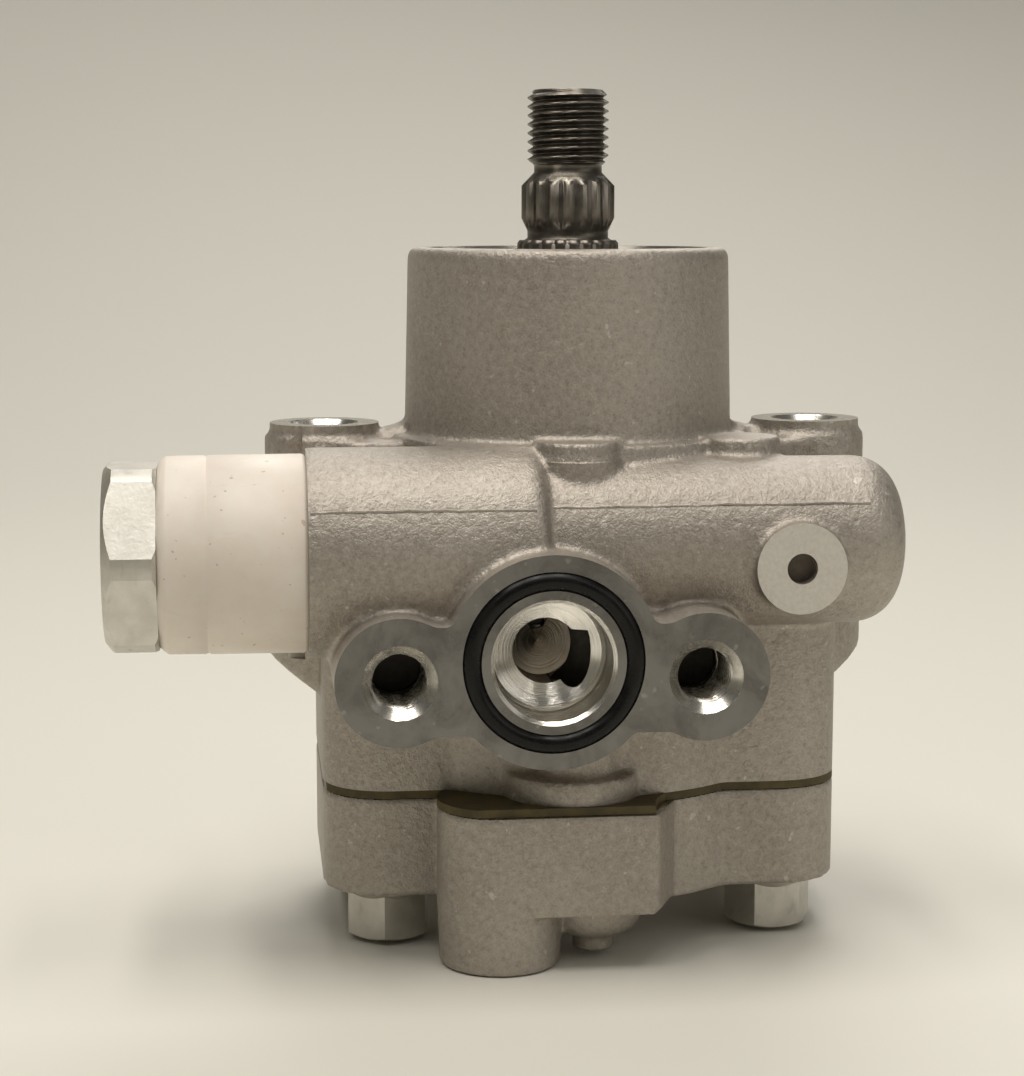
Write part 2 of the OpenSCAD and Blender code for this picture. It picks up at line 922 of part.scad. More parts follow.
module union_bolt() {
    hex_r = union_af / 2 / cos(30);
    turned_r = union_af / 2 + corner_rest;
    color(zinc)
        along_x(hex_left)
            difference() {
                union() {
                    intersection() {
                        rotate(30)
                            cylinder(r = hex_r, h = hex_t, $fn = 6);
                        rotate_extrude()
                            polygon([
                                [0, 0], [union_af / 2 - hex_edge, 0], [turned_r, hex_bevel],
                                [turned_r, hex_t - hex_edge], [turned_r - hex_edge, hex_t], [0, hex_t]
                            ]);
                    }
                    cylinder(r = connector_bore_r, h = hex_t + sleeve_len + union_reach);
                }
                translate([0, 0, hex_t + 4])
                    cylinder(r = union_hole_r, h = sleeve_len + union_reach);
                translate([0, 0, hex_t + sleeve_len / 2])
                    rotate([90, 0, 0])
                        cylinder(r = union_hole_r / 2, h = 2 * connector_bore_r + 2, center = true);
            }
}

module control_spool() {
    land_r = valve_r - run_gap;
    waist_r = valve_r - 2;
    spool_nose = 3;
    land_end = 12;
    waist_end = 20;
    color(steel_bright)
        along_x(spool_left)
            difference() {
                rotate_extrude()
                    polygon([
                        [0, 0], [waist_r, 0], [waist_r, spool_nose], [land_r, spool_nose],
                        [land_r, land_end], [waist_r, land_end + 1], [waist_r, waist_end],
                        [land_r, waist_end + 1], [land_r, spool_len], [0, spool_len]
                    ]);
                translate([0, 0, spool_len - spring_pocket])
                    cylinder(r = valve_r - spring_wall, h = spring_pocket + 1);
            }
}

module spool_spring() {
    wire_r = spring_wire_r;
    mid_r = valve_r - spring_wall - wire_r - fit_gap;
    turns = 9;
    start = spool_right - spring_pocket + wire_r + spring_end_gap;
    stop = valve_right - wire_r - spring_end_gap;
    pitch = (stop - start) / (turns - 1);
    color(steel_dark) {
        for (i = [0 : turns - 1])
            along_x(start + i * pitch)
                torus(mid_r, wire_r);
        for (i = [0 : turns - 2])
            along_x(start + i * pitch)
                rotate(i * 180)
                    translate([mid_r, 0, 0])
                        cylinder(r = wire_r * 0.8, h = pitch, $fn = 24);
    }
}

module gallery_plug() {
    color(steel_dark)
        facing_front(boss_x, plug_back, boss_z)
            cylinder(r = boss_hole_r, h = plug_back - plug_face);
}

pump_body();
rear_cover();
cover_gasket();
cover_bolts();
drive_shaft();
bearing_outer_ring();
bearing_inner_ring();
bearing_balls();
bearing_cage();
bearing_shields();
bearing_snap_ring();
shaft_seal();
shaft_bush();
pressure_plate();
plate_seal_ring();
cam_ring();
dowel_pins();
rotor();
rotor_snap_ring();
vane(1);  // vane_1
vane(2);  // vane_2
vane(3);  // vane_3
vane(4);  // vane_4
vane(5);  // vane_5
vane(6);  // vane_6
vane(7);  // vane_7
vane(8);  // vane_8
vane(9);  // vane_9
vane(10);  // vane_10
inlet_o_ring();
outlet_connector();
connector_o_ring();
spacer_sleeve();
union_bolt();
control_spool();
spool_spring();
gallery_plug();
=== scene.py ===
import math
import random

import bmesh
import bpy
from mathutils import Matrix, Vector


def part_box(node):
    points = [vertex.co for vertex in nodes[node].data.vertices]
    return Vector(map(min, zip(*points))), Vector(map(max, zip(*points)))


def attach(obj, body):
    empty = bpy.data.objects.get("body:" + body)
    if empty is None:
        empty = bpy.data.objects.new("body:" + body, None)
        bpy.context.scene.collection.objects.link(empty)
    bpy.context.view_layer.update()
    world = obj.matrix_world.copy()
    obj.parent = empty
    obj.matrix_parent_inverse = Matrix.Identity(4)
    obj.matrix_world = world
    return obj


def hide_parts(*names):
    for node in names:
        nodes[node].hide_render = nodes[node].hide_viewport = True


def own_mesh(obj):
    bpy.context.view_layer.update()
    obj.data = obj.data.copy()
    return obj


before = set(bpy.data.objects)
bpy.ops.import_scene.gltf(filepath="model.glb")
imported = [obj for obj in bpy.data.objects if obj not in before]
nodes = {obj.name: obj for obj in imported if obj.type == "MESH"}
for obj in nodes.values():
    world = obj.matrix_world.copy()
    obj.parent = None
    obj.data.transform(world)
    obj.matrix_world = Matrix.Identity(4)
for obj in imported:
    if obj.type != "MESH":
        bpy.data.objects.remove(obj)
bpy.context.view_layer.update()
MM = 0.001


def middle(node):
    low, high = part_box(node)
    return (low + high) / 2 / MM


# Places and sizes of the CAD model, in millimetres
BARREL_Y = -26.0
BARREL_Z = -19.2
BARREL_R = 17.2
SLIM_Z = -18.2
SLIM_R = 14.0
SHOULDER_X = -8.2
DOME_LEN = 8.0
BARREL_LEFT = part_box("spacer_sleeve")[1].x / MM
BARREL_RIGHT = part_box("pump_body")[1].x / MM
FLANGE_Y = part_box("pump_body")[0].y / MM
INLET_X = middle("inlet_o_ring").x
INLET_Z = middle("inlet_o_ring").z
HOLE_SPAN = 48.6
HOLE_DROP = 2.7
FLANGE_HOLES = [(INLET_X + side * HOLE_SPAN / 2, INLET_Z - HOLE_DROP) for side in (-1, 1)]
INLET_CENTRE = (INLET_X, FLANGE_Y, INLET_Z)
EAR_X = 42.5
EAR_SIDES = (-EAR_X, EAR_X)
BOSS = (middle("gallery_plug").x, middle("gallery_plug").z)
BOSS_FACE = -41.5
BOSS_CENTRE = (BOSS[0], BOSS_FACE, BOSS[1])
NOSE_TOP = 30.0
NOSE_MARK_X = -1.4
BODY_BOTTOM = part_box("cover_gasket")[1].z / MM
COVER_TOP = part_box("cover_gasket")[0].z / MM
FOOT_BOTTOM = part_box("rear_cover")[0].z / MM


# Mesh helpers

def new_object(name, mesh):
    obj = bpy.data.objects.new(name, mesh)
    bpy.context.scene.collection.objects.link(obj)
    return obj


def mesh_from(name, verts, faces):
    mesh = bpy.data.meshes.new(name)
    mesh.from_pydata([Vector(v) * MM for v in verts], [], faces)
    bm = bmesh.new()
    bm.from_mesh(mesh)
    bmesh.ops.recalc_face_normals(bm, faces=bm.faces)
    bm.to_mesh(mesh)
    bm.free()
    return mesh


AXES = {
    "z": Matrix.Identity(3),
    "x": Matrix(((0, 0, 1), (0, 1, 0), (-1, 0, 0))),
    "-y": Matrix(((1, 0, 0), (0, 0, -1), (0, 1, 0))),
}


def lathe(name, profile, centre=(0, 0, 0), axis="z", steps=96):
    """A closed solid of revolution: profile is (radius, height) from one axis point to the other."""
    turn = AXES[axis]
    verts, rings = [], []
    for r, h in profile:
        if r < 1e-6:
            rings.append([len(verts)])
            verts.append(turn @ Vector((0, 0, h)) + Vector(centre))
            continue
        ring = []
        for i in range(steps):
            a = 2 * math.pi * i / steps
            ring.append(len(verts))
            verts.append(turn @ Vector((r * math.cos(a), r * math.sin(a), h)) + Vector(centre))
        rings.append(ring)
    faces = []
    for low, high in zip(rings, rings[1:]):
        if len(low) == 1 and len(high) == 1:
            continue
        for i in range(steps):
            j = (i + 1) % steps
            if len(low) == 1:
                faces.append((low[0], high[i], high[j]))
            elif len(high) == 1:
                faces.append((low[i], low[j], high[0]))
            else:
                faces.append((low[i], low[j], high[j], high[i]))
    return new_object(name, mesh_from(name, verts, faces))


def rod(radius, low, high):
    """Profile of a plain cylinder."""
    return [(0, low), (radius, low), (radius, high), (0, high)]


def helix(name, radius_at, low, high, rise, steps, centre=(0, 0, 0), axis="z"):
    """A closed screw-like solid whose radius depends on height and angle."""
    turn = AXES[axis]
    rows = int(round((high - low) / rise)) + 1
    verts, faces = [], []
    for k in range(rows):
        h = low + (high - low) * k / (rows - 1)
        for i in range(steps):
            a = 2 * math.pi * i / steps
            r = radius_at(h, a)
            verts.append(turn @ Vector((r * math.cos(a), r * math.sin(a), h)) + Vector(centre))
    for k in range(rows - 1):
        for i in range(steps):
            j = (i + 1) % steps
            faces.append((k * steps + i, k * steps + j, (k + 1) * steps + j, (k + 1) * steps + i))
    faces.append(tuple(range(steps - 1, -1, -1)))
    faces.append(tuple((rows - 1) * steps + i for i in range(steps)))
    return new_object(name, mesh_from(name, verts, faces))


def coil(name, radius, wire, length, turns, corner):
    """A coil spring along X with a closed turn at each end; corner is the axis point at its low end."""
    closed = 2.02 * wire
    pitch = (length - 2 * wire - 2 * closed) / (turns - 2)
    steps, sides = 40, 10
    verts, faces = [], []
    count = turns * steps + 1
    for k in range(count):
        turn = k / steps
        in_open = min(max(turn - 1, 0), turns - 2)
        in_closed = min(turn, 1) + max(turn - turns + 1, 0)
        x = wire + closed * in_closed + pitch * in_open
        a = 2 * math.pi * turn
        for i in range(sides):
            b = 2 * math.pi * i / sides
            r = radius + wire * math.cos(b)
            verts.append(Vector((x + wire * math.sin(b), r * math.cos(a), r * math.sin(a))) + corner)
    for k in range(count - 1):
        for i in range(sides):
            j = (i + 1) % sides
            faces.append((k * sides + i, k * sides + j, (k + 1) * sides + j, (k + 1) * sides + i))
    faces.append(tuple(range(sides)))
    faces.append(tuple((count - 1) * sides + i for i in range(sides)))
    return new_object(name, mesh_from(name, verts, faces))


def block(name, low, high):
    xs, ys, zs = zip(low, high)
    verts = [(x, y, z) for z in zs for y in ys for x in xs]
    faces = [(0, 2, 3, 1), (4, 5, 7, 6), (0, 1, 5, 4), (2, 6, 7, 3), (0, 4, 6, 2), (1, 3, 7, 5)]
    return new_object(name, mesh_from(name, verts, faces))


def prism(name, outline, low, high):
    """A solid with one outline across Z, from one height to another."""
    n = len(outline)
    verts = [(x, y, z) for z in (low, high) for x, y in outline]
    faces = [tuple(range(n - 1, -1, -1)), tuple(range(n, 2 * n))]
    faces += [(i, (i + 1) % n, n + (i + 1) % n, n + i) for i in range(n)]
    return new_object(name, mesh_from(name, verts, faces))


def apply_modifiers(obj):
    dg = bpy.context.evaluated_depsgraph_get()
    mesh = bpy.data.meshes.new_from_object(obj.evaluated_get(dg))
    obj.modifiers.clear()
    obj.data = mesh


def merged(name, objs):
    bm = bmesh.new()
    for o in objs:
        bm.from_mesh(o.data)
        bpy.data.objects.remove(o)
    mesh = bpy.data.meshes.new(name)
    bm.to_mesh(mesh)
    bm.free()
    return new_object(name, mesh)


def boolean(obj, cutter, operation="DIFFERENCE"):
    mod = obj.modifiers.new("cut", "BOOLEAN")
    mod.operation = operation
    mod.solver = "MANIFOLD"
    mod.object = cutter
    apply_modifiers(obj)
    bpy.data.objects.remove(cutter)


def copy_of(node, name):
    mesh = nodes[node].data.copy()
    mesh.materials.clear()
    bm = bmesh.new()
    bm.from_mesh(mesh)
    bmesh.ops.remove_doubles(bm, verts=bm.verts, dist=1e-7)
    bm.to_mesh(mesh)
    bm.free()
    return new_object(name, mesh)


def stretch(obj, axis, at, to, keep=lambda co: True):
    """Moves the vertices that lie in one machined plane outwards, to leave stock on the casting."""
    for v in obj.data.vertices:
        if abs(v.co[axis] / MM - at) < 0.01 and keep(v.co / MM):
            v.co[axis] = to * MM


def cast(obj, voxel, rounds, triangles):
    """Turns sharp CAD edges into cast fillets, then thins the mesh to about that many triangles."""
    mod = obj.modifiers.new("voxels", "REMESH")
    mod.mode = "VOXEL"
    mod.voxel_size = voxel * MM
    mod.adaptivity = 0
    smooth = obj.modifiers.new("rounding", "SMOOTH")
    smooth.factor = 0.5
    smooth.iterations = rounds
    apply_modifiers(obj)
    thin = obj.modifiers.new("thinning", "DECIMATE")
    thin.ratio = min(1.0, triangles / (2 * len(obj.data.polygons)))
    apply_modifiers(obj)


def soften(obj, low, high, rounds):
    """Rounds the casting further inside one box."""
    bm = bmesh.new()
    bm.from_mesh(obj.data)
    inside = [v for v in bm.verts if all(a < c / MM < b for a, c, b in zip(low, v.co, high))]
    for _ in range(rounds):
        bmesh.ops.smooth_vert(bm, verts=inside, factor=0.5,
                              use_axis_x=True, use_axis_y=True, use_axis_z=True)
    bm.to_mesh(obj.data)
    bm.free()


def break_edge(obj, at, size):
    """Chamfers the outline of the face that lies in one plane across Y."""
    bm = bmesh.new()
    bm.from_mesh(obj.data)
    plane = [f for f in bm.faces
             if f.normal.y < -0.99 and abs(f.calc_center_median().y / MM - at) < 0.005]
    region = bmesh.ops.dissolve_faces(bm, faces=plane, use_verts=False)["region"]
    outline = {v for f in region for v in f.verts}
    bmesh.ops.inset_region(bm, faces=region, thickness=size * MM, depth=0.0,
                           use_boundary=True, use_even_offset=True)
    for v in outline:
        v.co.y += size * MM
    bmesh.ops.triangulate(bm, faces=[f for f in bm.faces if len(f.verts) > 4])
    bm.to_mesh(obj.data)
    bm.free()


def shade(obj, angle=32):
    mesh = obj.data
    mesh.shade_smooth()
    mesh.set_sharp_from_angle(angle=math.radians(angle))


def crisp_edges(obj, materials, angle=14):
    """Marks edges sharp beside faces of these materials, at a finer angle than the rest."""
    mesh = obj.data
    wanted = {i for i, m in enumerate(mesh.materials) if m in materials}
    bm = bmesh.new()
    bm.from_mesh(mesh)
    for edge in bm.edges:
        if len(edge.link_faces) == 2 and any(f.material_index in wanted for f in edge.link_faces):
            if edge.calc_face_angle(0.0) > math.radians(angle):
                edge.smooth = False
    bm.to_mesh(mesh)
    bm.free()


def finish_piece(obj, body, slot, *replaced):
    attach(obj, body)
    if replaced:
        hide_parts(*replaced)


# Materials

class Nodes:
    """A small hand for building one procedural material."""

    def __init__(self, name):
        self.material = bpy.data.materials.new(name)
        self.material.use_nodes = True
        self.tree = self.material.node_tree
        self.tree.nodes.clear()
        self.out = self.tree.nodes.new("ShaderNodeOutputMaterial")
        self.bsdf = self.tree.nodes.new("ShaderNodeBsdfPrincipled")
        self.tree.links.new(self.bsdf.outputs[0], self.out.inputs[0])
        self.coords = self.tree.nodes.new("ShaderNodeTexCoord").outputs["Object"]

    def link(self, a, b):
        self.tree.links.new(a, b)

    def set(self, **values):
        for key, value in values.items():
            self.bsdf.inputs[key.replace("_", " ")].default_value = value

    def mapped(self, scale):
        m = self.tree.nodes.new("ShaderNodeMapping")
        m.inputs["Scale"].default_value = scale
        self.link(self.coords, m.inputs["Vector"])
        return m.outputs[0]

    def noise(self, scale, detail=3, rough=0.55, vector=None, distortion=0.0):
        n = self.tree.nodes.new("ShaderNodeTexNoise")
        n.inputs["Scale"].default_value = scale
        n.inputs["Detail"].default_value = detail
        n.inputs["Roughness"].default_value = rough
        n.inputs["Distortion"].default_value = distortion
        self.link(vector or self.coords, n.inputs["Vector"])
        return n.outputs["Fac"]

    def ramp(self, fac, low, high, a=0.0, b=1.0):
        n = self.tree.nodes.new("ShaderNodeMapRange")
        n.inputs["From Min"].default_value = low
        n.inputs["From Max"].default_value = high
        n.inputs["To Min"].default_value = a
        n.inputs["To Max"].default_value = b
        self.link(fac, n.inputs["Value"])
        return n.outputs[0]

    def mix(self, fac, a, b):
        n = self.tree.nodes.new("ShaderNodeMix")
        n.data_type = "RGBA"
        self.link(fac, n.inputs[0])
        for socket, value in ((n.inputs[6], a), (n.inputs[7], b)):
            if isinstance(value, tuple):
                socket.default_value = (*value, 1.0)
            else:
                self.link(value, socket)
        return n.outputs[2]

    def pointy(self):
        return self.tree.nodes.new("ShaderNodeNewGeometry").outputs["Pointiness"]

    def bump(self, height, strength, distance, below=None):
        n = self.tree.nodes.new("ShaderNodeBump")
        n.inputs["Strength"].default_value = strength
        n.inputs["Distance"].default_value = distance * MM
        self.link(height, n.inputs["Height"])
        if below is not None:
            self.link(below, n.inputs["Normal"])
        return n.outputs[0]

    def done(self, colour=None, roughness=None, normal=None, metallic=None):
        for value, socket in ((colour, "Base Color"), (roughness, "Roughness"),
                              (normal, "Normal"), (metallic, "Metallic")):
            if value is not None:
                self.link(value, self.bsdf.inputs[socket])
        return self.material


def cast_material():
    m = Nodes("cast_aluminium")
    m.set(Metallic=0.8, IOR=1.45)
    broad = m.noise(38, 1, 0.55)
    mottle = m.noise(900, 3, 0.6)
    grain = m.noise(2700, 3, 0.65)
    base = m.mix(m.ramp(broad, 0.35, 0.65), (0.36, 0.325, 0.285), (0.42, 0.385, 0.34))
    base = m.mix(m.ramp(mottle, 0.5, 0.72, 0, 0.4), base, (0.56, 0.52, 0.465))
    base = m.mix(m.ramp(mottle, 0.46, 0.28, 0, 0.4), base, (0.21, 0.185, 0.16))
    base = m.mix(m.ramp(grain, 0.45, 0.7, 0, 0.4), base, (0.57, 0.53, 0.475))
    base = m.mix(m.ramp(grain, 0.42, 0.3, 0, 0.4), base, (0.20, 0.175, 0.15))
    specks = m.ramp(m.noise(480, 2, 0.5), 0.71, 0.75, 0, 0.5)
    base = m.mix(specks, base, (0.70, 0.67, 0.62))
    dark = m.ramp(m.noise(210, 3, 0.7, distortion=0.6), 0.66, 0.78, 0, 0.35)
    base = m.mix(dark, base, (0.20, 0.175, 0.15))
    edge = m.ramp(m.pointy(), 0.54, 0.64, 0, 0.4)
    base = m.mix(edge, base, (0.68, 0.65, 0.60))
    rough = m.ramp(grain, 0.3, 0.7, 0.44, 0.56)
    normal = m.bump(mottle, 0.8, 0.28)
    normal = m.bump(grain, 0.9, 0.14, normal)
    return m.done(base, rough, normal)


def machined_material(name, light, dark, spot):
    m = Nodes(name)
    m.set(Metallic=1.0)
    fine = m.noise(1600, 3, 0.6)
    stain = m.noise(120, 5, 0.65, distortion=0.5)
    base = m.mix(m.ramp(stain, 0.42, 0.68), light, dark)
    spots = m.ramp(m.noise(420, 2, 0.5), 0.66, 0.72, 0, 0.5)
    base = m.mix(spots, base, spot)
    rough = m.ramp(stain, 0.35, 0.7, 0.20, 0.32)
    return m.done(base, rough, m.bump(fine, 0.08, 0.03))


def turned_material(name, light, dark, smooth, rough):
    """Bored surfaces with fine rings from the tool, which lie across the bore's axis along Y."""
    m = Nodes(name)
    m.set(Metallic=1.0)
    rings = m.noise(9500, 2, 0.5, m.mapped((0.0, 1.0, 0.0)))
    cloud = m.noise(260, 3, 0.6)
    base = m.mix(m.ramp(cloud, 0.4, 0.7), light, dark)
    return m.done(base, m.ramp(rings, 0.3, 0.7, smooth, rough), m.bump(rings, 1.0, 0.06))


def tapped_material():
    m = Nodes("tapped_aluminium")
    m.set(Metallic=1.0)
    cloud = m.noise(500, 3, 0.6)
    base = m.mix(m.ramp(cloud, 0.4, 0.65), (0.66, 0.64, 0.59), (0.52, 0.50, 0.455))
    return m.done(base, m.ramp(cloud, 0.3, 0.7, 0.2, 0.32), m.bump(cloud, 0.1, 0.03))


def pale_boss_material():
    m = Nodes("matte_machined_face")
    m.set(Metallic=0.45)
    grain = m.noise(1500, 3, 0.6)
    base = m.mix(m.ramp(grain, 0.35, 0.65), (0.62, 0.585, 0.53), (0.70, 0.665, 0.61))
    return m.done(base, m.ramp(grain, 0.3, 0.7, 0.5, 0.62), m.bump(grain, 0.15, 0.05))


def zinc_material():
    m = Nodes("zinc_plate")
    m.set(Metallic=1.0)
    cloud = m.noise(220, 4, 0.6)
    scratch = m.noise(700, 3, 0.65, m.mapped((1.0, 1.0, 0.35)), 0.4)
    base = m.mix(m.ramp(cloud, 0.35, 0.7), (0.58, 0.56, 0.51), (0.68, 0.66, 0.61))
    base = m.mix(m.ramp(scratch, 0.6, 0.75, 0, 0.4), base, (0.42, 0.40, 0.36))
    rough = m.ramp(scratch, 0.3, 0.7, 0.36, 0.54)
    dents = m.noise(950, 3, 0.6, m.mapped((1.0, 0.45, 1.0)), 0.8)
    normal = m.bump(dents, 0.35, 0.10)
    return m.done(base, rough, m.bump(scratch, 0.25, 0.06, normal))


def dark_steel_material():
    m = Nodes("dark_steel")
    m.set(Metallic=1.0)
    cloud = m.noise(400, 3, 0.6)
    base = m.mix(m.ramp(cloud, 0.35, 0.7), (0.11, 0.10, 0.085), (0.17, 0.155, 0.135))
    # Painted shade: the thread's hollows, found by pointiness, are darkened.
    groove = m.ramp(m.pointy(), 0.48, 0.40, 0, 0.7)
    base = m.mix(groove, base, (0.045, 0.04, 0.034))
    edge = m.ramp(m.pointy(), 0.52, 0.60, 0, 0.8)
    base = m.mix(edge, base, (0.42, 0.38, 0.33))
    return m.done(base, m.ramp(cloud, 0.3, 0.7, 0.3, 0.45), m.bump(cloud, 0.1, 0.03))


def plastic_material():
    m = Nodes("white_plastic")
    m.set(Subsurface_Weight=0.12, Subsurface_Scale=0.001, IOR=1.48)
    cloud = m.noise(90, 4, 0.6)
    base = m.mix(m.ramp(cloud, 0.38, 0.7), (0.80, 0.735, 0.66), (0.73, 0.655, 0.57))
    specks = m.ramp(m.noise(900, 1, 0.5), 0.735, 0.76, 0, 0.55)
    base = m.mix(specks, base, (0.38, 0.29, 0.20))
    smear = m.ramp(m.noise(240, 4, 0.7, m.mapped((0.5, 1, 1)), 0.8), 0.6, 0.8, 0, 0.25)
    base = m.mix(smear, base, (0.55, 0.45, 0.36))
    fine = m.noise(1300, 2, 0.5)
    return m.done(base, m.ramp(cloud, 0.3, 0.7, 0.42, 0.56), m.bump(fine, 0.1, 0.04))


def plain_material(name, dark, light, metallic, rough, scale=400, bump=0.1):
    m = Nodes(name)
    m.set(Metallic=metallic)
    cloud = m.noise(scale, 3, 0.6)
    base = m.mix(m.ramp(cloud, 0.35, 0.65), dark, light)
    fine = m.noise(scale * 4, 2, 0.5)
    return m.done(base, m.ramp(cloud, 0.3, 0.7, rough - 0.05, rough + 0.08), m.bump(fine, bump, 0.03))


CAST = cast_material()
# Painted reflection: this flange-face aluminium is darkened well below the milled one, to stand for dark
# surroundings mirrored in the face.
MACHINED_DARK_REFLECTION = machined_material("machined_aluminium_painted_dark_reflection",
                             (0.205, 0.20, 0.19), (0.135, 0.13, 0.12), (0.36, 0.35, 0.325))
MILLED = machined_material("milled_aluminium",
                           (0.48, 0.455, 0.415), (0.41, 0.385, 0.345), (0.56, 0.54, 0.50))
BORED = turned_material("bored_aluminium", (0.80, 0.78, 0.73), (0.72, 0.695, 0.645), 0.12, 0.2)
# The drilled end of the inlet is rougher than the bore, which is real; its darker colour is painted shade
# deep in the port.
DRILLED_AND_SHADED = turned_material("drilled_aluminium_painted_shade", (0.46, 0.42, 0.365), (0.36, 0.32, 0.27), 0.24, 0.34)
TAPPED = tapped_material()
BOSS_PALE = pale_boss_material()
ZINC = zinc_material()
SHAFT = dark_steel_material()
PLASTIC = plastic_material()
RUBBER = plain_material("black_rubber", (0.004, 0.004, 0.004), (0.008, 0.0075, 0.007), 0.0, 0.28)
RUBBER_SHINE = 0.22
RUBBER.node_tree.nodes["Principled BSDF"].inputs["Specular IOR Level"].default_value = RUBBER_SHINE
# The gasket's own olive-brown, darkened further as painted shade of the joint gap.
GASKET = plain_material("olive_gasket", (0.055, 0.042, 0.016), (0.10, 0.078, 0.03), 0.0, 0.75, 300, 0.3)
BEARING = plain_material("bearing_steel", (0.55, 0.54, 0.52), (0.62, 0.61, 0.59), 1.0, 0.2)
SHIELD = plain_material("shield_steel", (0.30, 0.29, 0.28), (0.36, 0.35, 0.33), 1.0, 0.32)
SPRING = plain_material("spring_steel", (0.16, 0.15, 0.14), (0.22, 0.21, 0.2), 1.0, 0.35)
BRONZE = plain_material("bronze", (0.42, 0.26, 0.10), (0.50, 0.32, 0.14), 1.0, 0.35)
CARTRIDGE = plain_material("cartridge_steel", (0.42, 0.41, 0.40), (0.50, 0.49, 0.47), 1.0, 0.3)
# Painted shade: a near-black colour for the deep ends of holes and passages.
HOLE_SHADE = plain_material("painted_hole_shade", (0.045, 0.04, 0.034), (0.085, 0.075, 0.062), 0.5, 0.5)
PLUG = plain_material("plug_steel", (0.10, 0.085, 0.07), (0.15, 0.13, 0.11), 0.8, 0.5)

# Nodes that aren't named here are the cartridge's plain steel, or are replaced further down
NODE_MATERIALS = {
    "bearing_outer_ring": BEARING, "bearing_inner_ring": BEARING, "bearing_balls": BEARING,
    "bearing_cage": BRONZE, "bearing_shields": SHIELD, "bearing_snap_ring": SPRING,
    "shaft_seal": RUBBER, "shaft_bush": BRONZE, "plate_seal_ring": RUBBER,
    "rotor_snap_ring": SPRING, "inlet_o_ring": RUBBER, "outlet_connector": ZINC,
    "connector_o_ring": RUBBER, "union_bolt": ZINC, "gallery_plug": PLUG,
}
for name, obj in nodes.items():
    obj.data.materials.clear()
    obj.data.materials.append(NODE_MATERIALS.get(name, CARTRIDGE))
    shade(obj)


# Pump body: the casting with stock on its machined faces, rounded, then machined

def paint(obj, rules, flat=()):
    """Gives each face the first material whose rule its centre and normal meet, else the cast one.
    Faces that meet a rule in flat lose their smooth shading."""
    mesh = obj.data
    mesh.materials.clear()
    mesh.materials.append(CAST)
    for material, _ in rules:
        mesh.materials.append(material)
    for face in mesh.polygons:
        c = face.center / MM
        face.material_index = 0
        for i, (_, rule) in enumerate(rules):
            if rule(c, face.normal):
                face.material_index = i + 1
                if rule in flat:
                    face.use_smooth = False
                break


def off_axis(c, x, z):
    return math.hypot(c.x - x, c.z - z)


def from_ear(c):
    return math.hypot(abs(c.x) - EAR_X, c.y)


STOCK = 2.0
HOLE_FILL_R = 6.0
EAR_FILL_DEPTH = 25.0
BOSS_R = 7.4
FLANGE_CHAMFER = 0.22
BOSS_HOLE_R = 2.5
NOSE_BORE_R = 26.0
CAST_VOXEL = 0.58
LIP = ((-24, -46, -58), (18, -22, -46.5))
FAR = 60.0
body = copy_of("pump_body", "pump_body_casting")
stretch(body, 1, FLANGE_Y, FLANGE_Y - STOCK)
stretch(body, 1, BOSS_FACE, BOSS_FACE - STOCK)
stretch(body, 0, BARREL_LEFT, BARREL_LEFT - STOCK)
stretch(body, 2, 0.0, STOCK, lambda c: abs(c.x) > EAR_X - 12.5)
stretch(body, 2, BODY_BOTTOM, BODY_BOTTOM - STOCK)
fills = [body]
for x, z in FLANGE_HOLES:
    fills.append(lathe("fill", rod(HOLE_FILL_R, -16.5, STOCK), (x, FLANGE_Y, z), "-y"))
INLET_FILL = [(0, -23), (6.6, -23), (6.6, -13), (11.2, -12.5), (15.2, -4), (15.2, STOCK), (0, STOCK)]
fills.append(lathe("fill", INLET_FILL, INLET_CENTRE, "-y"))
fills.append(lathe("fill", rod(3.2, -7, STOCK), BOSS_CENTRE, "-y"))
for x in EAR_SIDES:
    fills.append(lathe("fill", rod(HOLE_FILL_R, -EAR_FILL_DEPTH, STOCK), (x, 0, 0)))
fills.append(lathe("fill", rod(NOSE_BORE_R, 20, NOSE_TOP - 0.2)))
body = merged("pump_body_casting", fills)
cast(body, CAST_VOXEL, 6, 140000)
soften(body, *LIP, 4)

# Pads, ears and boss on the casting, then the machined planes
PADS = [((-2.0, -27.6), 7.0, -1.1, 0.5), ((26.5, -20.0), 6.8, -1.3, 0.0)]
for (x, y), r, top, step in PADS:
    foot = r + step
    pad = [(0, -14), (foot, -14), (foot, top - 3.0), (foot - 0.2, top - 2.75), (r, top - 2.6),
           (r, top - 0.6), (r - 0.15, top - 0.25), (r - 0.5, top), (0, top)]
    boolean(body, lathe("pad", pad, (x, y, 0), "z", 96), "UNION")
EAR = [(0, -10), (10.3, -10), (10.3, -3.3), (10.1, -2.9), (9.6, -2.6), (9.45, -2.2), (9.4, 0), (0, 0)]
for x in EAR_SIDES:
    boolean(body, lathe("ear", EAR, (x, 0, 0), "z", 96), "UNION")
boolean(body, lathe("boss", rod(BOSS_R, -10, 0), BOSS_CENTRE, "-y", 96), "UNION")
boolean(body, block("cut", (-FAR, -FAR, -70), (45, FLANGE_Y, 10)))
break_edge(body, FLANGE_Y, FLANGE_CHAMFER)
boolean(body, block("cut", (24, FLANGE_Y - 5, -30), (44, BOSS_FACE, -10)))
boolean(body, block("cut", (BARREL_LEFT - 8, -46, -40), (BARREL_LEFT, -8, 4)))
for x in EAR_SIDES:
    boolean(body, block("cut", (x - 12, -12, 0), (x + 12, 12, 6)))
boolean(body, block("cut", (-FAR, -FAR, BODY_BOTTOM - 8), (FAR, FAR, BODY_BOTTOM)))

# Holes and bores
TAP_R = 4.3
TAP_DEEP = 0.62
TAP_PITCH = 1.25
TAP_END = 13.0
TAP_MOUTH_R = 6.1
FLANGE_TAP_DEPTH = 16.0
EAR_TAP_DEPTH = 18.0


